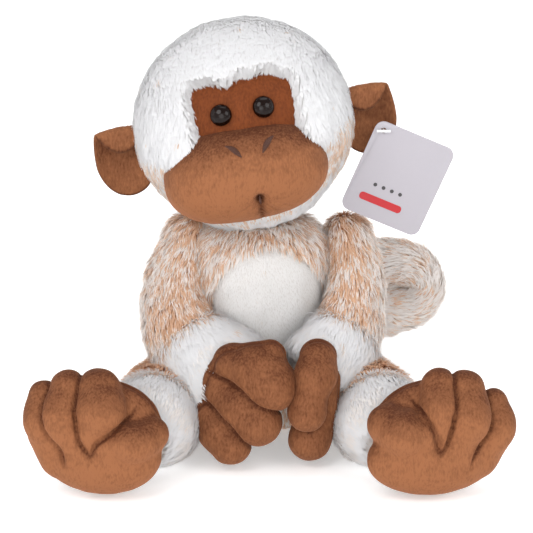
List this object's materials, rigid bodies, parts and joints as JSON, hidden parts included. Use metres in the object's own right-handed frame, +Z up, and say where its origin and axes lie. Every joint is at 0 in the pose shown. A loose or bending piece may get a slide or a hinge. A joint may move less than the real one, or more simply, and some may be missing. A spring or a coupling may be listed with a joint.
{
  "type": "stuffed monkey",
  "caption": "Sitting plush monkey with a white long-pile hood and cuffs, frosted body, brown velboa muzzle, ears, hands and feet, curled tail and a plain hang tag.",
  "frame": {"origin": "middle of the toy's bounding box, on the surface it sits on", "axes": "+Z up, the face looks along -Y, +X is the toy's left side"},
  "size_m": [0.3056, 0.269, 0.2723],
  "materials": {
    "frosted_plush": "long-pile faux fur, cream tips over tan roots",
    "white_plush": "long-pile white faux fur",
    "brown_velboa": "short-pile brushed velboa",
    "face_velboa": "short-pile brushed velboa, darker",
    "polyester_stuffing": "loose polyester fibre",
    "pellet_pouch": "woven pouch of plastic pellets",
    "safety_eye": "polished",
    "eye_washer": "moulded",
    "embroidery_thread": "satin stitch",
    "satin_label": "woven satin ribbon",
    "coated_card": "coated card",
    "nylon_fastener": "moulded nylon"
  },
  "bodies": {
    "torso": {"torso_cover": "frosted_plush", "tummy_panel": "white_plush", "torso_stuffing": "polyester_stuffing", "seat_pellet_pouch": "pellet_pouch", "sewn_label": "satin_label"},
    "neck": {"neck_band": "frosted_plush", "neck_stuffing": "polyester_stuffing"},
    "head": {"head_hood": "white_plush", "face_panel": "face_velboa", "head_stuffing": "polyester_stuffing", "muzzle_cover": "brown_velboa", "muzzle_stuffing": "polyester_stuffing", "eye_left": "safety_eye", "eye_right": "safety_eye", "eye_washer_left": "eye_washer", "eye_washer_right": "eye_washer", "nostril_stitch_left": "embroidery_thread", "nostril_stitch_right": "embroidery_thread", "mouth_stitch": "embroidery_thread"},
    "ear_left": {"ear_lining_left": "face_velboa", "ear_back_left": "brown_velboa", "tag_fastener": "nylon_fastener"},
    "ear_right": {"ear_lining_right": "face_velboa", "ear_back_right": "brown_velboa"},
    "tag": {"hang_tag": "coated_card"},
    "tail": {"tail_cover": "frosted_plush", "tail_stuffing": "polyester_stuffing"},
    "tail_tip": {"tail_tip_cover": "frosted_plush", "tail_tip_stuffing": "polyester_stuffing"},
    "upper_arm_left": {"upper_sleeve_left": "frosted_plush", "upper_arm_stuffing_left": "polyester_stuffing"},
    "forearm_left": {"forearm_sleeve_left": "frosted_plush", "forearm_stuffing_left": "polyester_stuffing", "wrist_cuff_left": "white_plush"},
    "hand_left": {"hand_back_left": "brown_velboa", "hand_palm_left": "brown_velboa", "hand_stuffing_left": "polyester_stuffing"},
    "leg_left": {"leg_sleeve_left": "frosted_plush", "leg_stuffing_left": "polyester_stuffing", "ankle_cuff_left": "white_plush"},
    "foot_left": {"foot_sole_left": "brown_velboa", "foot_upper_left": "brown_velboa", "foot_stuffing_left": "polyester_stuffing"},
    "upper_arm_right": {"upper_sleeve_right": "frosted_plush", "upper_arm_stuffing_right": "polyester_stuffing"},
    "forearm_right": {"forearm_sleeve_right": "frosted_plush", "forearm_stuffing_right": "polyester_stuffing", "wrist_cuff_right": "white_plush"},
    "hand_right": {"hand_back_right": "brown_velboa", "hand_palm_right": "brown_velboa", "hand_stuffing_right": "polyester_stuffing"},
    "leg_right": {"leg_sleeve_right": "frosted_plush", "leg_stuffing_right": "polyester_stuffing", "ankle_cuff_right": "white_plush"},
    "foot_right": {"foot_sole_right": "brown_velboa", "foot_upper_right": "brown_velboa", "foot_stuffing_right": "polyester_stuffing"}
  },
  "joints": [
    {"name": "neck_turn", "type": "hinge", "parent": "torso", "child": "neck", "pos_m": [-0.01442, 0.02234, 0.146], "axis": [0, 0, 1], "range_deg": [-30, 30]},
    {"name": "head_nod", "type": "hinge", "parent": "neck", "child": "head", "pos_m": [-0.01442, 0.02234, 0.146], "axis": [-1, 0, 0], "range_deg": [-15, 12]},
    {"name": "ear_fold_left", "type": "hinge", "parent": "head", "child": "ear_left", "pos_m": [0.05078, 0.03506, 0.20649], "axis": [0.1822, 0, -0.9833], "range_deg": [-15, 30]},
    {"name": "ear_fold_right", "type": "hinge", "parent": "head", "child": "ear_right", "pos_m": [-0.08262, 0.02558, 0.18177], "axis": [-0.1822, 0, 0.9833], "range_deg": [-15, 30]},
    {"name": "tag_swing", "type": "hinge", "parent": "ear_left", "child": "tag", "pos_m": [0.07478, 0.01934, 0.2027], "axis": [0, -1, 0], "range_deg": [-2, 35]},
    {"name": "shoulder_left", "type": "hinge", "parent": "torso", "child": "upper_arm_left", "pos_m": [0.05458, 0.02834, 0.122], "axis": [-1, 0, 0], "range_deg": [0, 30]},
    {"name": "elbow_left", "type": "hinge", "parent": "upper_arm_left", "child": "forearm_left", "pos_m": [0.05571, -0.00187, 0.08518], "axis": [-1, 0, 0], "range_deg": [0, 30]},
    {"name": "wrist_left", "type": "hinge", "parent": "forearm_left", "child": "hand_left", "pos_m": [0.03758, -0.03866, 0.06], "axis": [-0.9, 0, 0.4359], "range_deg": [0, 20]},
    {"name": "hip_left", "type": "hinge", "parent": "torso", "child": "leg_left", "pos_m": [0.05658, -0.00266, 0.021], "axis": [1, 0, 0], "range_deg": [0, 40]},
    {"name": "ankle_left", "type": "hinge", "parent": "leg_left", "child": "foot_left", "pos_m": [0.07258, -0.06566, 0.029], "axis": [1, 0, 0], "range_deg": [-12, 20]},
    {"name": "shoulder_right", "type": "hinge", "parent": "torso", "child": "upper_arm_right", "pos_m": [-0.05942, 0.02834, 0.122], "axis": [-1, 0, 0], "range_deg": [0, 30]},
    {"name": "elbow_right", "type": "hinge", "parent": "upper_arm_right", "child": "forearm_right", "pos_m": [-0.06313, -0.00354, 0.08336], "axis": [-1, 0, 0], "range_deg": [0, 30]},
    {"name": "wrist_right", "type": "hinge", "parent": "forearm_right", "child": "hand_right", "pos_m": [-0.03642, -0.03766, 0.057], "axis": [-0.995, 0, -0.0999], "range_deg": [0, 20]},
    {"name": "hip_right", "type": "hinge", "parent": "torso", "child": "leg_right", "pos_m": [-0.06142, -0.00266, 0.021], "axis": [1, 0, 0], "range_deg": [0, 40]},
    {"name": "ankle_right", "type": "hinge", "parent": "leg_right", "child": "foot_right", "pos_m": [-0.07742, -0.06566, 0.029], "axis": [1, 0, 0], "range_deg": [-12, 20]},
    {"name": "tail_swing", "type": "hinge", "parent": "torso", "child": "tail", "pos_m": [0.00958, 0.09834, 0.04], "axis": [0, 0, 1], "range_deg": [-10, 40]},
    {"name": "tail_curl", "type": "hinge", "parent": "tail", "child": "tail_tip", "pos_m": [0.08338, 0.11931, 0.04447], "axis": [0, 1, 0], "range_deg": [0, 35]}
  ]
}
